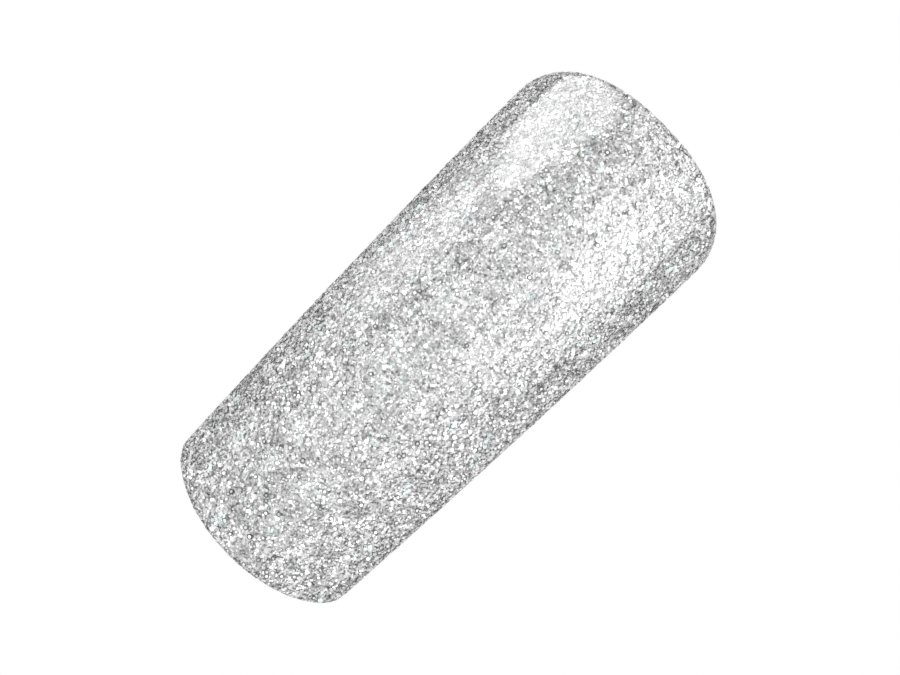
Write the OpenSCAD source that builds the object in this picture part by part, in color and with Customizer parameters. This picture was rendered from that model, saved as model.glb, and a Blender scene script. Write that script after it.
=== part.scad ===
// Artificial nail tip finished in silver glitter gel polish, in millimetres.
// +Y runs from the free edge to the cuticle edge, X runs across, and +Z is away from the finger.
// The origin is the centre of the footprint, on the plane that the nail rests on.

/* [Outline] */
// Length of the finished nail, free edge to cuticle edge
nail_length = 25; // [22:0.5:28]
// Width of the finished nail beside the cuticle
cuticle_width = 10.44; // [10.2:0.02:10.6]
// Width of the finished nail beside the free edge
free_edge_width = 9.1; // [9:0.02:9.6]
// How far each side bows out midway between those widths
side_bow = 0.085; // [0:0.005:0.15]
// Depth of the rounded end at the cuticle
cuticle_cap = 3.4; // [2.8:0.1:3.8]
// Depth of the rounded end at the free edge
free_edge_cap = 2.1; // [2:0.1:3.2]
// Squareness of the corners at the cuticle: 2 is an ellipse, and more is squarer
cuticle_power = 2.33; // [2:0.01:2.6]
// Squareness of the corners at the free edge
free_edge_power = 1.94; // [1.9:0.01:2.6]

/* [Arch] */
// Radius of the finished surface across the nail
cross_radius = 6; // [5.9:0.05:6.2]
// Radius of the finished crown line along the nail
arch_radius = 45; // [42:1:52]
// Height of the side wall's top edge above the table, where the nail touches it
side_wall = 0.7; // [0.6:0.05:0.8]
// Height of the side wall's lower edge above the table, midway along the nail
rim_lift = 0.6; // [0.4:0.05:0.7]

/* [Tip] */
// Wall of the moulded tip between the stop and the free edge
tip_wall = 0.6; // [0.6:0.05:0.7]
// Wall at the cuticle edge, where the tip is feathered
cuticle_wall = 0.25; // [0.2:0.01:0.25]
// Wall at the stop, which the natural nail's edge butts against
stop_wall = 0.3; // [0.25:0.01:0.3]
// Length of the seat, from the cuticle edge to the stop
seat_length = 9.5; // [8.5:0.5:9.5]

/* [Coats] */
// Thickness of the clear base coat
base_coat_t = 0.05; // [0.04:0.01:0.06]
// Thickness of the first silver colour coat
first_coat_t = 0.06; // [0.05:0.01:0.07]
// Thickness of the second silver colour coat
second_coat_t = 0.07; // [0.06:0.01:0.08]
// Thickness of the clear top coat over the flakes
top_coat_t = 0.08; // [0.07:0.01:0.09]
// Share of a coat's thickness that reaches round onto the side walls
side_share = 0.5; // [0.45:0.05:0.6]
// Height of bare tip left below the coats along the side walls
bare_rim = 0.25; // [0.2:0.05:0.3]
// Height of bare tip left below the coats at both ends
bare_lip = 0.1; // [0.08:0.01:0.12]

/* [Flakes] */
// Distance between neighbouring flakes
flake_pitch = 0.85; // [0.8:0.05:1.2]
// Width of a fine hexagonal flake, corner to corner
fine_width = 0.14; // [0.1:0.01:0.16]
// Width of a coarse hexagonal flake, corner to corner
coarse_width = 0.26; // [0.2:0.01:0.28]
// Width of an iridescent hexagonal flake, corner to corner
iridescent_width = 0.2; // [0.16:0.01:0.22]
// Thickness of the film that the flakes are cut from
flake_t = 0.025; // [0.02:0.005:0.03]

/* [Hidden] */
$fn = 240;

// How far each surface lies below the finished one. The flakes lie in a bed with clearance
// above and below them, under the top coat.
flake_clearance = 0.0125;
depth_bed = top_coat_t;
depth_second = depth_bed + flake_t + 2 * flake_clearance;
depth_first = depth_second + second_coat_t;
depth_base = depth_first + first_coat_t;
depth_tip = depth_base + base_coat_t;
depth_inside = depth_tip + tip_wall;

// The stations where the sides end and the rounded ends begin.
y_cuticle = nail_length / 2 - cuticle_cap;
y_free = free_edge_cap - nail_length / 2;
side_length = y_cuticle - y_free;

// Half the finished width at station y, before the ends are rounded.
function half_width(y) =
    let (share = (y_cuticle - y) / side_length)
    (cuticle_width + (free_edge_width - cuticle_width) * share) / 2
    + 4 * side_bow * share * (1 - share);

// The radius, from the arch's axis, of the finished surface where it meets the side wall.
function side_arch(y) = arch_radius - cross_radius + sqrt(cross_radius ^ 2 - half_width(y) ^ 2);

// The arch's axis, placed so that the side walls are equally high at both stations.
apex_y = (side_arch(y_free) ^ 2 - side_arch(y_cuticle) ^ 2 + y_cuticle ^ 2 - y_free ^ 2)
         / (2 * side_length);
axis_z = side_wall - sqrt(side_arch(y_free) ^ 2 - (y_free - apex_y) ^ 2);

// The crown line's point at station y, this far below the finished surface.
function crown(y, depth) = [y, axis_z + sqrt((arch_radius - depth) ^ 2 - (y - apex_y) ^ 2)];

// The rim's lower edge arches from one station to the other.
rim_radius = (side_length ^ 2 / 4 + rim_lift ^ 2) / (2 * rim_lift);
rim_y = (y_cuticle + y_free) / 2;

// The seat is a straight half pipe that follows the crown from the stop to the cuticle edge.
seat_radius = cross_radius - depth_inside;
seat_stop = crown(nail_length / 2 - seat_length, depth_tip + stop_wall);
seat_mouth = crown(nail_length / 2, depth_tip + cuticle_wall);
seat_run = seat_mouth - seat_stop;
seat_tilt = atan2(seat_run[1], seat_run[0]);

// Cutting shapes reach this far past the nail, and the arched solids span this angle.
beyond = 6;
arch_sweep = 50;

// Steps of the outline's rounded ends, in degrees, and stations along each side.
corner_step = 5;
side_steps = 12;

// A point on the right of a rounded end, from 0 degrees at the side to 90 at its tip.
function end_point(y_side, cap, power, inset, angle) =
    let (y = y_side + cap * sin(angle))
    [(half_width(y) - inset) * (1 - sin(angle) ^ power) ^ (1 / power),
     y - sign(cap) * inset * sin(angle)];

// The outline's right half, from the middle of the free edge to the middle of the cuticle.
function right_half(inset) = concat(
    [for (angle = [90:-corner_step:0])
        end_point(y_free, -free_edge_cap, free_edge_power, inset, angle)],
    [for (i = [1:side_steps - 1])
        let (y = y_free + i * side_length / side_steps) [half_width(y) - inset, y]],
    [for (angle = [0:corner_step:90])
        end_point(y_cuticle, cuticle_cap, cuticle_power, inset, angle)]);

// The nail's outline from above, drawn in by inset all round.
module outline(inset) {
    right = right_half(inset);
    left = [for (i = [len(right) - 2:-1:1]) [-right[i][0], right[i][1]]];
    polygon(concat(right, left));
}

// A bent bar whose surface lies this far below the finished surface.
module bent_bar(depth) {
    translate([0, apex_y, axis_z])
        rotate([0, 90, 0])
            rotate_extrude(start = 180 - arch_sweep / 2, angle = arch_sweep)
                translate([arch_radius - cross_radius, 0])
                    circle(r = cross_radius - depth);
}

// The nail as one filled block, down to this depth and drawn in by this inset.
module block(depth, inset) {
    intersection() {
        bent_bar(depth);
        translate([0, 0, -beyond])
            linear_extrude(3 * beyond)
                outline(inset);
    }
}

// The space for the finger, with the seat.
module hollow() {
    bent_bar(depth_inside);
    translate([0, seat_stop[0], seat_stop[1]])
        rotate([seat_tilt, 0, 0])
            translate([0, 0, -seat_radius])
                rotate([-90, 0, 0])
                    cylinder(h = seat_length + beyond, r = seat_radius);
}

// Everything under the rim's lower edge and under the table, raised by lift.
module under_rim(lift) {
    translate([0, rim_y, rim_lift - rim_radius])
        rotate([0, 90, 0])
            cylinder(h = 4 * beyond, r = rim_radius + lift, center = true);
    translate([-2 * beyond, -nail_length, lift - 2 * beyond])
        cube([4 * beyond, 2 * nail_length, 2 * beyond]);
}

// One coat, from its own surface down to the surface that it was brushed onto.
module coat(depth, inset, depth_under, inset_under) {
    difference() {
        block(depth, inset);
        block(depth_under, inset_under);
        translate([0, 0, bare_lip])
            hollow();
        under_rim(bare_rim);
    }
}

module nail_tip() {
    color("ivory")
        difference() {
            block(depth_tip, side_share * depth_tip);
            hollow();
            under_rim(0);
        }
}

module base_coat() {
    color("gainsboro")
        coat(depth_base, side_share * depth_base, depth_tip, side_share * depth_tip);
}

module first_colour_coat() {
    color("darkgray")
        coat(depth_first, side_share * depth_first, depth_base, side_share * depth_base);
}

module second_colour_coat() {
    color("silver")
        coat(depth_second, side_share * depth_second, depth_first, side_share * depth_first);
}

// The top coat closes onto the second coat's side, so that the flakes' bed is sealed.
module top_coat() {
    color("lightgray", 0.4)
        coat(0, 0, depth_bed, side_share * depth_second);
}

// The flakes' lattice: columns across the crown and rows along it, as angles round the two radii.
column_angle = flake_pitch / cross_radius * 180 / PI;
row_angle = flake_pitch / arch_radius * 180 / PI;
columns = floor(90 / column_angle);
rows = floor(nail_length / flake_pitch);
row_count = 2 * rows + 1;
column_count = 2 * columns + 1;
scatter_seed = 7;
scatter = rands(-0.3, 0.3, 2 * row_count * column_count, scatter_seed);
golden_angle = 137.508;

// Whether a point is far enough inside the finished outline to hold a flake.
flake_margin = 0.45;
function roomy(x, y) =
    let (past = y > y_cuticle ? (y - y_cuticle) / (cuticle_cap - flake_margin)
                              : max(0, y_free - y) / (free_edge_cap - flake_margin),
         power = y > y_cuticle ? cuticle_power : free_edge_power)
    past < 1 && abs(x) / (half_width(y) - flake_margin) < (1 - past ^ power) ^ (1 / power);

// The kinds of flake repeat along the lattice in this order.
FLAKE_ORDER = ["fine", "coarse", "fine", "iridescent", "coarse"];

// The flakes of one kind, lying on the second colour coat and turned every way.
module flakes(kind, width) {
    flake_height = arch_radius - cross_radius;
    for (row = [0:row_count - 1], column = [0:column_count - 1]) {
        index = row * column_count + column;
        across = (column - columns + scatter[2 * index]) * column_angle;
        along = (row - rows + scatter[2 * index + 1]) * row_angle;
        reach = flake_height + (cross_radius - depth_second) * cos(across);
        x = (cross_radius - depth_second) * sin(across);
        y = apex_y + reach * sin(along);
        if (FLAKE_ORDER[index % len(FLAKE_ORDER)] == kind && abs(across) < 90 && roomy(x, y))
            translate([0, apex_y, axis_z])
                rotate([-along, 0, 0])
                    translate([0, 0, flake_height])
                        rotate([0, across, 0])
                            translate([0, 0, cross_radius - depth_second + flake_clearance])
                                rotate([0, 0, index * golden_angle])
                                    cylinder(h = flake_t, d = width, $fn = 6);
    }
}

module fine_flakes() {
    color("white") flakes("fine", fine_width);
}

module coarse_flakes() {
    color("whitesmoke") flakes("coarse", coarse_width);
}

module iridescent_flakes() {
    color("lightcyan") flakes("iridescent", iridescent_width);
}

nail_tip();
base_coat();
first_colour_coat();
second_colour_coat();
fine_flakes();
coarse_flakes();
iridescent_flakes();
top_coat();
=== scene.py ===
"""Looks of an artificial nail tip finished in silver glitter gel polish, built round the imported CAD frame.

Everything is in metres in the row frame: +Y runs from the free edge to the cuticle edge and +Z away
from the finger. Shapes are measured from the CAD nodes, so they follow the frame.
"""

import math

import bmesh
import bpy
import numpy as np
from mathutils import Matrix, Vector, noise as perlin
from mathutils.bvhtree import BVHTree


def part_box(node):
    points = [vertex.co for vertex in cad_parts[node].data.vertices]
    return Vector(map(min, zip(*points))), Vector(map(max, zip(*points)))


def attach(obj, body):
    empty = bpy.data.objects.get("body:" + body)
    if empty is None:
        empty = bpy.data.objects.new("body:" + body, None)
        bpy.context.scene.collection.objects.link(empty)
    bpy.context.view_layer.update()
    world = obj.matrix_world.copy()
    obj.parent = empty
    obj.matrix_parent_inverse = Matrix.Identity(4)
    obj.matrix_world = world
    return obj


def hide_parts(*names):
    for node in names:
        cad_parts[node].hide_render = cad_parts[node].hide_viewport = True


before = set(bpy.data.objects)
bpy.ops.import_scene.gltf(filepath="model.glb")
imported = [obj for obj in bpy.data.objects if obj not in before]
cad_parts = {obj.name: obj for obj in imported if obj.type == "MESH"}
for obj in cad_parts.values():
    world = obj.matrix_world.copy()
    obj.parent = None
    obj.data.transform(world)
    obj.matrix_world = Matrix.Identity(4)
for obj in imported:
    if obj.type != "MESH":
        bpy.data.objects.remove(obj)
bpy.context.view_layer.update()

MM = 0.001
TINY = 1e-7  # lengths below this count as none
UP = Vector((0, 0, 1))
DOWN = Vector((0, 0, -1))
FAR = 1.0  # a height well beyond the nail's
SEED = 20
rng = np.random.default_rng(SEED)


# ---------------------------------------------------------------- the finished surface, from the frame


def tree_of(node):
    """A search tree of a CAD node's surface."""
    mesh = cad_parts[node].data
    return BVHTree.FromPolygons([v.co for v in mesh.vertices], [p.vertices for p in mesh.polygons])


def height_from_above(tree, x, y):
    return tree.ray_cast(Vector((x, y, FAR)), DOWN)[0].z


def height_from_below(tree, x, y):
    """Height of the lowest surface over (x, y), or None beside the node."""
    hit = tree.ray_cast(Vector((x, y, -FAR)), UP)[0]
    return None if hit is None else hit.z


def circle_through(points):
    """(centre u, centre v, radius) of the circle through three points of a plane."""
    (u1, v1), (u2, v2), (u3, v3) = points
    rows = np.array([[u2 - u1, v2 - v1], [u3 - u1, v3 - v1]])
    sides = np.array([u2**2 - u1**2 + v2**2 - v1**2, u3**2 - u1**2 + v3**2 - v1**2]) / 2
    u, v = np.linalg.solve(rows, sides)
    return u, v, math.hypot(u1 - u, v1 - v)


top_tree = tree_of("top_coat")
nail_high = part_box("top_coat")[1]
half_length = nail_high.y
half_width = nail_high.x
PROBES = np.array([-0.8, 0, 0.8])  # shares of the half length and half width where the arch is measured

crown_probe = [(y, height_from_above(top_tree, 0, y)) for y in PROBES * half_length]
axis_y, axis_z, arch_radius = circle_through(crown_probe)
cross_probe = [(x, height_from_above(top_tree, x, axis_y)) for x in PROBES * half_width]
_, _, cross_radius = circle_through(cross_probe)


def depth_of(node):
    """How far a coat's crown lies below the finished crown."""
    return nail_high.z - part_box(node)[1].z


def inset_of(node):
    """How far a coat's side lies inside the finished side."""
    return half_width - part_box(node)[1].x


def bar_height(x, y, depth):
    """Height of the bent surface that lies depth below the finished one."""
    section = arch_radius - cross_radius + np.sqrt((cross_radius - depth) ** 2 - x**2)
    return axis_z + np.sqrt(section**2 - (y - axis_y) ** 2)


def bar_normal(points):
    """Outward normals of the finished surface near these points."""
    to_axis = np.hypot(points[..., 1] - axis_y, points[..., 2] - axis_z)
    share = (arch_radius - cross_radius) / to_axis
    centre = np.stack(
        [
            np.zeros_like(to_axis),
            axis_y + (points[..., 1] - axis_y) * share,
            axis_z + (points[..., 2] - axis_z) * share,
        ],
        -1,
    )
    normal = points - centre
    return normal / np.linalg.norm(normal, axis=-1, keepdims=True)


# ---------------------------------------------------------------- the outline from above


DECIMALS = 8  # of a metre, to which points are told apart


def hull_of(points):
    """The points' convex hull, counter-clockwise."""
    points = sorted(set(map(tuple, np.round(points, DECIMALS))))

    def chain(ordered):
        kept = []
        for p in ordered:
            while len(kept) > 1 and (
                (kept[-1][0] - kept[-2][0]) * (p[1] - kept[-2][1])
                <= (kept[-1][1] - kept[-2][1]) * (p[0] - kept[-2][0])
            ):
                kept.pop()
            kept.append(p)
        return kept[:-1]

    return np.array(chain(points) + chain(points[::-1]))


def smooth_half(hull, count):
    """count + 1 points on a smooth curve down the right side, from the cuticle's tip to the free one."""
    right = hull[hull[:, 0] > TINY]
    right = right[np.argsort(-right[:, 1])]
    tips = np.array([[0, hull[:, 1].max()], [0, hull[:, 1].min()]])
    points = np.vstack([tips[:1], right, tips[1:]])
    # Two points mirrored from the left at each tip make the curve smooth there.
    mirrored = points[1:3][::-1] * [-1, 1], points[-3:-1][::-1] * [-1, 1]
    points = np.vstack([mirrored[0], points, mirrored[1]])
    at = np.r_[0, np.cumsum(np.linalg.norm(np.diff(points, axis=0), axis=1))]
    slope = np.gradient(points, at, axis=0)
    wanted = np.linspace(at[2], at[-3], count + 1)
    i = np.clip(np.searchsorted(at, wanted, side="right") - 1, 2, len(at) - 4)
    span = (at[i + 1] - at[i])[:, None]
    t = ((wanted - at[i]) / span[:, 0])[:, None]
    curve = (
        (1 + 2 * t) * (1 - t) ** 2 * points[i]
        + t * (1 - t) ** 2 * span * slope[i]
        + t**2 * (3 - 2 * t) * points[i + 1]
        + t**2 * (t - 1) * span * slope[i + 1]
    )
    curve[[0, -1], 0] = 0
    return curve


HALF_STEPS = 330  # steps along each side of the outline
top_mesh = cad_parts["top_coat"].data
right_half = smooth_half(hull_of([v.co.xy for v in top_mesh.vertices]), HALF_STEPS)
outline = np.vstack([right_half, right_half[-2:0:-1] * [-1, 1]])
ahead = np.roll(outline, -1, 0) - np.roll(outline, 1, 0)
outward = np.stack([-ahead[:, 1], ahead[:, 0]], 1)
outward /= np.linalg.norm(outward, axis=1, keepdims=True)

# Rings run from a line down the middle of the nail, which stops short of both ends.
SPINE_STOP = 0.85  # how far short, in half widths
spine_end = half_length - SPINE_STOP * half_width
spine = np.stack([np.zeros(len(outline)), np.clip(outline[:, 1], -spine_end, spine_end)], 1)


# ---------------------------------------------------------------- coats as closed shells

FACE_RINGS = 34  # including the spine
EDGE_RINGS = 7
WALL_RINGS = 4
EDGE_ROUND = 0.25 * MM  # how far in from the side the rounding of the edge starts
EDGE_DROP = 0.16 * MM  # how far the rounding drops
FLAKE_WAVE = 0.30 * MM  # how far apart the swellings over the flakes are
FLAKE_RELIEF = 0.006 * MM  # how deep the dips between them are


def lower_edge(tree, inset):
    """Height of a coat's lower edge all round, measured on its CAD node inside its side wall."""
    points = outline - outward * inset
    found = [height_from_below(tree, x, y) for x, y in points]
    known = [i for i, z in enumerate(found) if z is not None]
    return np.interp(range(len(points)), known, [found[i] for i in known], period=len(points))


def skin(depth, inset, bottom):
    """Rings of a coat's surface, from the spine over the edge and down the side wall."""
    edge_round = EDGE_ROUND - inset
    rings = []
    for t in np.linspace(0, 1, FACE_RINGS):
        p = spine + t * (outline - outward * (inset + edge_round) - spine)
        rings.append(np.column_stack([p, bar_height(p[:, 0], p[:, 1], depth)]))
    for angle in np.linspace(0, math.pi / 2, EDGE_RINGS)[1:]:
        p = outline - outward * (inset + edge_round * (1 - math.sin(angle)))
        drop = EDGE_DROP * (1 - math.cos(angle))
        rings.append(np.column_stack([p, bar_height(p[:, 0], p[:, 1], depth) - drop]))
    last = rings[-1]
    for t in np.linspace(0, 1, WALL_RINGS)[1:]:
        z = last[:, 2] + t * (bottom - last[:, 2])
        rings.append(np.column_stack([last[:, :2], z]))
    return np.array(rings)


NO_AREA = 1e-12  # square metres


def ring_normals(rings):
    """Outward normals of a skin at its ring points."""
    along = np.gradient(rings, axis=0)
    around = np.roll(rings, -1, 1) - np.roll(rings, 1, 1)
    normal = np.cross(along, around)
    length = np.linalg.norm(normal, axis=-1, keepdims=True)
    normal = np.where(length > NO_AREA, normal / np.maximum(length, NO_AREA), 0)
    flat = length[..., 0] <= NO_AREA
    normal[flat] = bar_normal(rings[flat])
    facing = np.sum(normal * bar_normal(rings), -1, keepdims=True)
    return normal * np.where(facing < 0, -1, 1)


def roughened(rings):
    """The rings pushed in a little here and there, because flakes show through the thin gel."""
    normals = ring_normals(rings)
    wave = [perlin.noise(Vector(p) / FLAKE_WAVE) for p in rings.reshape(-1, 3)]
    push = FLAKE_RELIEF * (1 - np.array(wave).reshape(*rings.shape[:2], 1)) / 2
    return rings - normals * push


def mesh_object(name, vertices, faces, merge=0.0):
    """A piece from points and faces, riding on the nail's only body."""
    mesh = bpy.data.meshes.new(name)
    mesh.from_pydata(vertices.reshape(-1, 3).tolist(), [], faces)
    if merge:
        work = bmesh.new()
        work.from_mesh(mesh)
        bmesh.ops.remove_doubles(work, verts=work.verts, dist=merge)
        bmesh.ops.recalc_face_normals(work, faces=work.faces)
        work.to_mesh(mesh)
        work.free()
    piece = bpy.data.objects.new(name, mesh)
    bpy.context.scene.collection.objects.link(piece)
    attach(piece, "root")
    return piece


def shell(name, outer, inner):
    """A closed coat between an outer and an inner skin, joined along its lower edge."""
    rings = np.vstack([outer, inner[::-1]])
    count, around = rings.shape[:2]
    index = np.arange(count * around).reshape(count, around)
    a, b = index[:-1], index[1:]
    faces = np.stack([a, b, np.roll(b, -1, 1), np.roll(a, -1, 1)], -1).reshape(-1, 4)
    piece = mesh_object(name, rings, faces.tolist(), merge=TINY)
    piece.data.shade_smooth()
    return piece


TOP_SHARE = 0.9  # share of the way to the colour coat at which the top coat's inner skin lies
second_depth, second_inset = depth_of("second_colour_coat"), inset_of("second_colour_coat")
first_depth, first_inset = depth_of("first_colour_coat"), inset_of("first_colour_coat")
top_bottom = lower_edge(top_tree, second_inset / 2)
second_bottom = lower_edge(tree_of("second_colour_coat"), (second_inset + first_inset) / 2)
finished = roughened(skin(0, 0, top_bottom))
under_top = skin(TOP_SHARE * second_depth, TOP_SHARE * second_inset, top_bottom)
top_coat = shell("top_coat_gel", finished, under_top)
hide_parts("top_coat")
second_coat = shell(
    "second_coat_gel",
    skin(second_depth, second_inset, second_bottom),
    skin(first_depth, first_inset, second_bottom),
)
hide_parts("second_colour_coat")


# ---------------------------------------------------------------- flakes

SIDES = 6  # of a flake
CELL_REACH = 0.3  # how far a flake's own corners reach from the middle of its map cell, in cells
GEL_OVER = 0.012 * MM  # least clear gel over a flake
RIMMED_OVER = 0.003 * MM
STEEP = 0.7  # a normal's share along X beyond which Y is the safer helper
CLUSTER_SPREAD = 0.8  # how far flakes of a cluster lie from its middle, in flake widths
LAST_STRIP = 0.5  # share of the surface's last strip that holds flakes, so that none hangs over its edge


def scatter(count, face_only=False):
    """count random places on the finished surface, or its face: (points, normals, coat thickness there)."""
    rings = finished[:FACE_RINGS] if face_only else finished
    a, b, c, d = rings[:-1], rings[1:], np.roll(rings, -1, 1)[1:], np.roll(rings, -1, 1)[:-1]
    area = np.linalg.norm(np.cross(c - a, d - b), axis=-1).ravel()
    chosen = rng.choice(len(area), count, p=area / area.sum())
    u, v = rng.random((2, count, 1))
    u[chosen // rings.shape[1] == len(rings) - 2] *= LAST_STRIP

    def at(values):
        values = values[: len(rings)]
        corners = values[:-1], values[1:], np.roll(values, -1, 1)[1:], np.roll(values, -1, 1)[:-1]
        p, q, r, s = (k.reshape(-1, values.shape[-1])[chosen] for k in corners)
        return (1 - u) * (1 - v) * p + u * (1 - v) * q + u * v * r + (1 - u) * v * s

    return at(finished), at(finished_normals), at(finished_coat)


def across(normal):
    """Two unit vectors at right angles to each normal and to each other."""
    helper = np.where(np.abs(normal[:, :1]) < STEEP, [[1.0, 0, 0]], [[0, 1.0, 0]])
    first = np.cross(normal, helper)
    first /= np.linalg.norm(first, axis=1, keepdims=True)
    return first, np.cross(normal, first)


def flake_cells(mesh, count):
    """A UV map with one square cell for each flake, so that a baked finish stays on its own flake."""
    across_map = math.ceil(math.sqrt(count))
    per_flake = len(mesh.loops) // count
    cell = np.repeat(np.arange(count), per_flake)
    around = np.tile(np.arange(per_flake) * math.tau / SIDES, count)
    u = (cell % across_map + 0.5 + CELL_REACH * np.cos(around)) / across_map
    v = (cell // across_map + 0.5 + CELL_REACH * np.sin(around)) / across_map
    layer = mesh.uv_layers.new(name="OFBake")
    layer.uv.foreach_set("vector", np.column_stack([u, v]).astype(np.float32).ravel())


def prisms(name, centre, facing, size, film, top):
    """Closed hexagonal prisms of film round these centres, each turned its own way about its axis."""
    count = len(centre)
    u, v = across(facing)
    spin = rng.uniform(0, math.tau, (count, 1))
    corners = []
    for side, reach in ((-0.5, 1.0), (0.5, top)):
        for corner in range(SIDES):
            angle = spin + corner * math.tau / SIDES
            out = reach * size * (np.cos(angle) * u + np.sin(angle) * v)
            corners.append(centre + out + side * film * facing)
    vertices = np.stack(corners, 1)
    ring = np.arange(SIDES)
    after = (ring + 1) % SIDES
    quads = np.stack([ring, after, after + SIDES, ring + SIDES], 1)
    own_faces = [list(ring[::-1]), list(ring + SIDES), *quads.tolist()]
    start = 2 * SIDES * np.arange(count)
    faces = [[int(s + k) for k in f] for s in start for f in own_faces]
    piece = mesh_object(name, vertices, faces)
    flake_cells(piece.data, count)
    return piece


def flakes(name, count, width, film, tilt, spread, top=1.0, cluster=1, floating=None):
    """Hexagonal flakes with random tilts and sizes, at random depths in the gel.

    top is the share of the width that the upper face keeps. Flakes come in clusters of this many. With
    floating, they all float at the top with this much gel over them.
    """
    points, normals, coat = (np.repeat(k, cluster, axis=0) for k in scatter(count // cluster, cluster > 1))
    normals /= np.linalg.norm(normals, axis=1, keepdims=True)
    first, second = across(normals)
    if cluster > 1:
        shift = rng.normal(0, CLUSTER_SPREAD * width, (2, count, 1))
        points = points + shift[0] * first + shift[1] * second
    lean = rng.normal(0, tilt, (2, count, 1))
    facing = normals + lean[0] * first + lean[1] * second
    facing /= np.linalg.norm(facing, axis=1, keepdims=True)
    size = width * rng.uniform(1 - spread, 1 + spread, (count, 1)) / 2
    over = GEL_OVER if floating is None else floating
    sunk = np.hypot(lean[0], lean[1]) * size + film / 2 + over
    room = np.maximum(coat * TOP_SHARE - sunk, 0) if floating is None else 0
    centre = points - normals * (sunk + rng.random((count, 1)) * room)
    return prisms(name, centre, facing, size, film, top)


finished_normals = ring_normals(finished)
ring_share = np.clip((np.arange(len(finished)) - FACE_RINGS + 1) / (EDGE_RINGS - 1), 0, 1)
finished_coat = second_depth + ring_share * (second_inset - second_depth)
finished_coat = np.broadcast_to(finished_coat[:, None, None], (*finished.shape[:2], 1))

FINE_COUNT = 40000
FINE_PIECES = 4
fine = [
    flakes(f"fine_flakes_{i + 1}", count=FINE_COUNT // FINE_PIECES,
           width=0.108 * MM, film=0.008 * MM, tilt=0.30, spread=0.3)
    for i in range(FINE_PIECES)
]
coarse = flakes("coarse_flakes_1", count=2200,
                width=0.185 * MM, film=0.014 * MM, tilt=0.12, spread=0.15)
rimmed = flakes("coarse_flakes_2", count=180,
                width=0.22 * MM, film=0.010 * MM, tilt=0.03, spread=0.15, top=0.6, floating=RIMMED_OVER)
iridescent = flakes("iridescent_flakes_1", count=600,
                    width=0.17 * MM, film=0.012 * MM, tilt=0.14, spread=0.1, cluster=6)
for piece in fine:
    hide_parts("fine_flakes")
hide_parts("coarse_flakes")
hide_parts("coarse_flakes")
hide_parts("iridescent_flakes")


# ---------------------------------------------------------------- materials


def material(name, **values):
    """A Principled material, its node tree and its shader node, with plain input values set by name."""
    mat = bpy.data.materials.new(name)
    mat.use_nodes = True
    tree = mat.node_tree
    shader = tree.nodes["Principled BSDF"]
    for key, value in values.items():
        shader.inputs[key.replace("_", " ")].default_value = value
    return mat, tree, shader


COLOUR_A, COLOUR_B, MIXED = 6, 7, 2  # a Mix node's colour sockets


def node(tree, kind, **settings):
    """A new node, with plain inputs and properties set by name."""
    made = tree.nodes.new(kind)
    for key, value in settings.items():
        if key in made.inputs:
            made.inputs[key].default_value = value
        else:
            setattr(made, key, value)
    return made


def paint(piece, mat):
    """Gives a piece its only material."""
    piece.data.materials.clear()
    piece.data.materials.append(mat)


def ramp(tree, source, *stops):
    """A colour ramp over a value: stops are (place, red, green, blue)."""
    made = node(tree, "ShaderNodeValToRGB")
    elements = made.color_ramp.elements
    while len(elements) < len(stops):
        elements.new(0.5)  # moved to its own place below
    for element, (place, *colour) in zip(elements, stops):
        element.position = place
        element.color = (*colour, 1)
    tree.links.new(source, made.inputs[0])
    return made.outputs[0]


def ranged(tree, source, low, high, start=0.0, stop=1.0):
    """A value from start to stop brought to low..high."""
    made = node(tree, "ShaderNodeMapRange")
    made.inputs["From Min"].default_value = start
    made.inputs["From Max"].default_value = stop
    made.inputs["To Min"].default_value = low
    made.inputs["To Max"].default_value = high
    tree.links.new(source, made.inputs["Value"])
    return made.outputs[0]


def noise(tree, scale, detail=2.0):
    """A noise value in object coordinates; scale is in waves per metre."""
    made = node(tree, "ShaderNodeTexNoise", Scale=scale, Detail=detail)
    place = node(tree, "ShaderNodeTexCoord")
    tree.links.new(place.outputs["Object"], made.inputs["Vector"])
    return made.outputs[0]


def bump(tree, height, strength, distance):
    """A normal bumped by a height value."""
    made = node(tree, "ShaderNodeBump", Strength=strength, Distance=distance)
    tree.links.new(height, made.inputs["Height"])
    return made.outputs[0]


# Tones are ramp stops, each (place, red, green, blue). Scales of noise are in waves per metre.
PATCHES = 1900  # of the glitter's patchiness
PATCH_TONES = (0.36, 0.66, 0.66, 0.66), (0.56, 1, 1, 1)
# Fine silver flakes' tones: partly their own random tone, partly painted glint and painted shade for how
# each tilted flake catches the light.
SILVER_TONES_AND_GLINTS = (0.0, 0.28, 0.28, 0.285), (0.4, 0.74, 0.74, 0.745), (1.0, 0.99, 0.99, 0.99)
COARSE_TONES = (0.0, 0.85, 0.85, 0.855), (1.0, 0.98, 0.98, 0.985)
# Tones of the floating flakes' sloping sides: near black, a painted dark ring of shade round each glint, not
# a colour of the film.
DARK_RING_TONES = (0.0, 0.03, 0.03, 0.03), (1.0, 0.25, 0.25, 0.25)
CYAN_TONES = (0.0, 0.80, 0.95, 0.95), (1.0, 0.95, 0.99, 0.99)
DUST_TONES = (0.0, 0.42, 0.42, 0.425), (0.6, 0.66, 0.66, 0.665), (1.0, 0.9, 0.9, 0.905)
PLASTIC_TONES = (0.3, 0.80, 0.765, 0.69), (0.7, 0.86, 0.835, 0.77)
BASE_TONES = (0.3, 0.74, 0.73, 0.71), (0.7, 0.84, 0.83, 0.81)
DUST_GRAINS = 14000.0  # grains of silver dust per metre
GEL_IOR = 1.6
MOST_MIRRORED = 0.08  # share of the light that the top coat mirrors at a grazing angle


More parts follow.
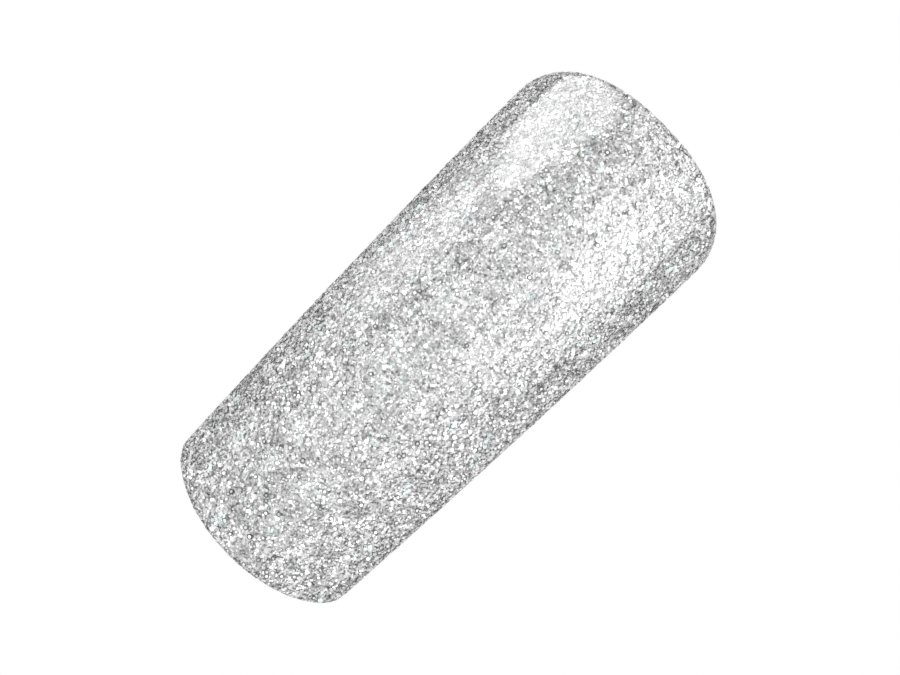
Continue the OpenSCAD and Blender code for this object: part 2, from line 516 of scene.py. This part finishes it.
def flake_material(name, stops, roughness):
    """Metallised film: every flake has its own tone from the stops, and its own polish. The fine silver
    stops are partly painted glint and painted shade, and the dark ring stops are painted shade.
    """
    mat, tree, shader = material(name, Metallic=1.0)
    flake = node(tree, "ShaderNodeNewGeometry").outputs["Random Per Island"]
    tone = node(tree, "ShaderNodeMix", data_type="RGBA", blend_type="MULTIPLY")
    tone.inputs["Factor"].default_value = 1
    tree.links.new(ramp(tree, flake, *stops), tone.inputs[COLOUR_A])
    tree.links.new(ramp(tree, noise(tree, PATCHES, detail=3.0), *PATCH_TONES), tone.inputs[COLOUR_B])
    tree.links.new(tone.outputs[MIXED], shader.inputs["Base Color"])
    polish = node(tree, "ShaderNodeTexWhiteNoise", noise_dimensions="1D")
    tree.links.new(flake, polish.inputs["W"])
    tree.links.new(ranged(tree, polish.outputs["Value"], *roughness), shader.inputs["Roughness"])
    return mat


def top_coat_material():
    """Clear gel: it only mirrors, a little more at a grazing angle, and lets the rest through."""
    mat, tree, shader = material("clear_top_gel", Base_Color=(1, 1, 1, 1), Metallic=1.0, Roughness=0.06)
    wavy = bump(tree, noise(tree, scale=900, detail=4.0), strength=0.12, distance=0.02 * MM)
    tree.links.new(wavy, shader.inputs["Normal"])
    fresnel = node(tree, "ShaderNodeFresnel", IOR=GEL_IOR)
    limited = node(tree, "ShaderNodeMath", operation="MINIMUM")
    limited.inputs[1].default_value = MOST_MIRRORED
    tree.links.new(fresnel.outputs[0], limited.inputs[0])
    # Only faces turned towards the viewer mirror: front is 1 for them and 0 for the others.
    geometry = node(tree, "ShaderNodeNewGeometry")
    front = node(tree, "ShaderNodeMath", operation="SUBTRACT")
    front.inputs[0].default_value = 1
    tree.links.new(geometry.outputs["Backfacing"], front.inputs[1])
    share = node(tree, "ShaderNodeMath", operation="MULTIPLY")
    tree.links.new(limited.outputs[0], share.inputs[0])
    tree.links.new(front.outputs[0], share.inputs[1])
    tree.links.new(share.outputs[0], shader.inputs["Alpha"])
    return mat


def silver_gel_material():
    """Gel full of silver dust, whose grains each have their own tone and polish."""
    mat, tree, shader = material("silver_shimmer_gel", Metallic=1.0)
    cells = node(tree, "ShaderNodeTexVoronoi", Scale=DUST_GRAINS)
    place = node(tree, "ShaderNodeTexCoord")
    tree.links.new(place.outputs["Object"], cells.inputs["Vector"])
    split = node(tree, "ShaderNodeSeparateColor")
    tree.links.new(cells.outputs["Color"], split.inputs[0])
    tree.links.new(ramp(tree, split.outputs[0], *DUST_TONES), shader.inputs["Base Color"])
    tree.links.new(ranged(tree, split.outputs[1], low=0.25, high=0.5), shader.inputs["Roughness"])
    return mat


def plastic_material():
    """Uncoloured ABS: warm, faintly clouded and slightly uneven from its mould."""
    mat, tree, shader = material("natural_abs", Subsurface_Weight=0.15, Subsurface_Scale=0.4 * MM)
    cloud = noise(tree, scale=500, detail=3.0)
    tree.links.new(ramp(tree, cloud, *PLASTIC_TONES), shader.inputs["Base Color"])
    tree.links.new(ranged(tree, noise(tree, scale=2500), low=0.32, high=0.48), shader.inputs["Roughness"])
    grain = bump(tree, noise(tree, scale=4000, detail=4.0), strength=0.3, distance=0.01 * MM)
    tree.links.new(grain, shader.inputs["Normal"])
    return mat


def clear_base_material():
    """Base gel, as it looks over the tip's plastic."""
    mat, tree, shader = material("clear_base_gel", Coat_Weight=0.5)
    tree.links.new(ramp(tree, noise(tree, scale=700), *BASE_TONES), shader.inputs["Base Color"])
    tree.links.new(ranged(tree, noise(tree, scale=3000), low=0.12, high=0.3), shader.inputs["Roughness"])
    return mat


# The fine flakes' tones run from dark to bright: partly random tone, partly painted glint and painted shade.
silver = flake_material("silver_film", SILVER_TONES_AND_GLINTS, roughness=(0.06, 0.25))
silver_coarse = flake_material("silver_film_coarse", COARSE_TONES, roughness=(0.06, 0.2))
painted_dark_ring = flake_material("flake_painted_dark_ring", DARK_RING_TONES, roughness=(0.3, 0.45))
cyan = flake_material("iridescent_film", CYAN_TONES, roughness=(0.12, 0.25))
for piece in fine:
    paint(piece, silver)
paint(coarse, silver_coarse)
paint(rimmed, silver_coarse)
rimmed.data.materials.append(painted_dark_ring)
# The sloping sides of the floating flakes carry the painted dark ring of shade.
painted_dark_ring_on_sides = np.tile([0, 0] + [1] * SIDES, len(rimmed.data.polygons) // (SIDES + 2))
rimmed.data.polygons.foreach_set("material_index", painted_dark_ring_on_sides.astype(np.int32))
paint(iridescent, cyan)
paint(top_coat, top_coat_material())
silver_gel = silver_gel_material()
paint(second_coat, silver_gel)
paint(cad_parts["first_colour_coat"], silver_gel)
paint(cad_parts["base_coat"], clear_base_material())
paint(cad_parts["nail_tip"], plastic_material())


# ---------------------------------------------------------------- floor, light and camera


FLOOR_HALF = 0.6  # metres
HORIZON = (0.0, 1.0, 1.0, 1.0)  # the room's light as ramp stops over the direction's height
ZENITH = (0.9, 0.72, 0.72, 0.72)
LAMP_CELLS = 7.0
LAMP_CORE = (0.25, 2.8, 2.8, 2.8)  # a small lamp's light as ramp stops over the distance from its middle
LAMP_END = (0.42, 0, 0, 0)
LAMPS_BY_HEIGHT = (0.3, 1.0)  # how much of that the small lamps give at the horizon and overhead
BRIGHT_SIDE = 90.0, 0.0  # azimuth and elevation, in degrees
SIDE_SHARES = 0.88, 1.21  # the room's light opposite the bright side, and at it
DIM_PATCH = 140.0, 20.0  # azimuth and elevation of a dim patch of the room, behind the left gloss
DIM_SHARES = 1.0, 0.5  # the room's light around the patch, and in its middle
DIM_COSINES = math.cos(math.radians(40)), math.cos(math.radians(12))  # where the patch starts, and is full


def towards(azimuth, elevation):
    """The direction at an azimuth, 0 towards +X and 90 towards +Y, and an elevation, in degrees."""
    a, e = math.radians(azimuth), math.radians(elevation)
    return Vector((math.cos(e) * math.cos(a), math.cos(e) * math.sin(a), math.sin(e)))


def stage_floor():
    """A pale floor that the camera sees as plain white."""
    corners = [(x * FLOOR_HALF, y * FLOOR_HALF, 0) for x, y in ((-1, -1), (1, -1), (1, 1), (-1, 1))]
    mesh = bpy.data.meshes.new("floor")
    mesh.from_pydata(corners, [], [(0, 1, 2, 3)])
    floor = bpy.data.objects.new("floor", mesh)
    bpy.context.scene.collection.objects.link(floor)
    mat, tree, shader = material("pale_floor", Base_Color=(0.76, 0.76, 0.76, 1), Roughness=0.9)
    seen = node(tree, "ShaderNodeEmission", Color=(1, 1, 1, 1), Strength=1.0)
    path = node(tree, "ShaderNodeLightPath")
    mix = node(tree, "ShaderNodeMixShader")
    tree.links.new(path.outputs["Is Camera Ray"], mix.inputs[0])
    tree.links.new(shader.outputs[0], mix.inputs[1])
    tree.links.new(seen.outputs[0], mix.inputs[2])
    tree.links.new(mix.outputs[0], tree.nodes["Material Output"].inputs["Surface"])
    mesh.materials.append(mat)


def by_direction(tree, direction, light, place, shares, cosines=(-1.0, 1.0)):
    """Light scaled by the first share to the last as its direction turns to a place."""
    facing = node(tree, "ShaderNodeVectorMath", operation="DOT_PRODUCT")
    facing.inputs[1].default_value = towards(*place)
    tree.links.new(direction, facing.inputs[0])
    scaled = node(tree, "ShaderNodeVectorMath", operation="SCALE")
    tree.links.new(light, scaled.inputs[0])
    tree.links.new(ranged(tree, facing.outputs["Value"], *shares, *cosines), scaled.inputs["Scale"])
    return scaled.outputs[0]


def room_light(tree, direction):
    """The room's light over a direction: a white tent, many small lamps, a bright side and a dim patch."""
    split = node(tree, "ShaderNodeSeparateXYZ")
    tree.links.new(direction, split.inputs[0])
    tent = ramp(tree, split.outputs["Z"], HORIZON, ZENITH)
    cells = node(tree, "ShaderNodeTexVoronoi", Scale=LAMP_CELLS)
    tree.links.new(direction, cells.inputs["Vector"])
    lamps = ramp(tree, cells.outputs["Distance"], LAMP_CORE, LAMP_END)
    add = node(tree, "ShaderNodeMix", data_type="RGBA", blend_type="ADD", clamp_result=False)
    tree.links.new(ranged(tree, split.outputs["Z"], *LAMPS_BY_HEIGHT), add.inputs["Factor"])
    tree.links.new(tent, add.inputs[COLOUR_A])
    tree.links.new(lamps, add.inputs[COLOUR_B])
    shaded = by_direction(tree, direction, add.outputs[MIXED], BRIGHT_SIDE, SIDE_SHARES)
    return by_direction(tree, direction, shaded, DIM_PATCH, DIM_SHARES, DIM_COSINES)


def world_light():
    """The room's light for the object, and plain white for the camera."""
    world = bpy.data.worlds.new("room")
    bpy.context.scene.world = world
    world.use_nodes = True
    tree = world.node_tree
    place = node(tree, "ShaderNodeTexCoord")
    path = node(tree, "ShaderNodeLightPath")
    mix = node(tree, "ShaderNodeMix", data_type="RGBA")
    tree.links.new(path.outputs["Is Camera Ray"], mix.inputs["Factor"])
    tree.links.new(room_light(tree, place.outputs["Generated"]), mix.inputs[COLOUR_A])
    mix.inputs[COLOUR_B].default_value = (1, 1, 1, 1)
    tree.links.new(mix.outputs[MIXED], tree.nodes["Background"].inputs["Color"])


def fade_out(tree, soft):
    """An area light's strength, fading over its outer shares soft, across and up."""
    split = node(tree, "ShaderNodeSeparateXYZ")
    tree.links.new(node(tree, "ShaderNodeNewGeometry").outputs["Parametric"], split.inputs[0])
    inside = node(tree, "ShaderNodeMath", operation="MULTIPLY")
    for i, share in enumerate(soft):
        from_edge = node(tree, "ShaderNodeMath", operation="PINGPONG")
        from_edge.inputs[1].default_value = 0.5
        tree.links.new(split.outputs[i], from_edge.inputs[0])
        fade = node(tree, "ShaderNodeMapRange", interpolation_type="SMOOTHSTEP")
        fade.inputs["From Max"].default_value = share
        tree.links.new(from_edge.outputs[0], fade.inputs["Value"])
        tree.links.new(fade.outputs[0], inside.inputs[i])
    tree.links.new(inside.outputs[0], tree.nodes["Emission"].inputs["Strength"])


def softbox(name, azimuth, elevation, distance, width, height, radiance, soft, only=None):
    """A soft-edged area light aimed at the nail, in degrees and metres. only is the one piece it lights."""
    direction = towards(azimuth, elevation)
    data = bpy.data.lights.new(name, "AREA")
    data.shape = "RECTANGLE"
    data.size, data.size_y = width, height
    data.energy = radiance * math.pi * width * height
    data.use_nodes = True
    fade_out(data.node_tree, soft)
    lamp = bpy.data.objects.new(name, data)
    bpy.context.scene.collection.objects.link(lamp)
    lamp.location = direction * distance
    lamp.rotation_mode = "QUATERNION"
    lamp.rotation_quaternion = direction.to_track_quat("Z", "Y")
    lamp.visible_camera = False
    if only is not None:
        lamp.light_linking.receiver_collection = bpy.data.collections.new(name)
        lamp.light_linking.receiver_collection.objects.link(only)


SENSOR = 36 * MM
LENS = 300 * MM
FRAME_WIDTH = 36.68 * MM  # what the picture's width covers at the nail
MIDDLE_RIGHT, MIDDLE_UP = 0.168 * MM, 0.105 * MM  # where the picture's middle lies from the nail's
TURN = math.radians(45.5)
CLIP = 0.01, 10.0  # metres


def camera():
    """Straight above the nail, turned so that the cuticle end points up and to the right."""
    data = bpy.data.cameras.new("camera")
    data.sensor_width, data.lens = SENSOR / MM, LENS / MM
    data.clip_start, data.clip_end = CLIP
    cam = bpy.data.objects.new("camera", data)
    bpy.context.scene.collection.objects.link(cam)
    middle_x = MIDDLE_RIGHT * math.cos(TURN) - MIDDLE_UP * math.sin(TURN)
    middle_y = MIDDLE_RIGHT * math.sin(TURN) + MIDDLE_UP * math.cos(TURN)
    cam.location = (middle_x, middle_y, FRAME_WIDTH * LENS / SENSOR + nail_high.z / 2)
    cam.rotation_euler = (0, 0, TURN)
    bpy.context.scene.camera = cam


stage_floor()
world_light()
# The first two stand close to the nail, so that their gloss ends where it should.
softbox("left_gloss", azimuth=137.6, elevation=9.9, distance=0.02335, width=0.0165, height=0.032,
        radiance=5.8, soft=(0.2, 0.15), only=top_coat)
softbox("left_low_gloss", azimuth=170.5, elevation=4.7, distance=0.0183, width=0.016, height=0.012,
        radiance=2.1, soft=(0.35, 0.3), only=top_coat)
softbox("left_edge_gloss", azimuth=175, elevation=22, distance=0.35, width=0.26, height=0.30,
        radiance=5.0, soft=(0.5, 0.5), only=top_coat)
softbox("right_window", azimuth=20, elevation=48, distance=0.40, width=0.30, height=0.26,
        radiance=1.1, soft=(0.4, 0.4))
softbox("right_gloss", azimuth=15, elevation=30, distance=0.40, width=0.30, height=0.42,
        radiance=3.0, soft=(0.5, 0.35), only=top_coat)
softbox("high_gloss", azimuth=42, elevation=66, distance=0.40, width=0.17, height=0.28,
        radiance=2.1, soft=(0.5, 0.5), only=top_coat)
camera()
bpy.context.scene.view_settings.view_transform = "Standard"
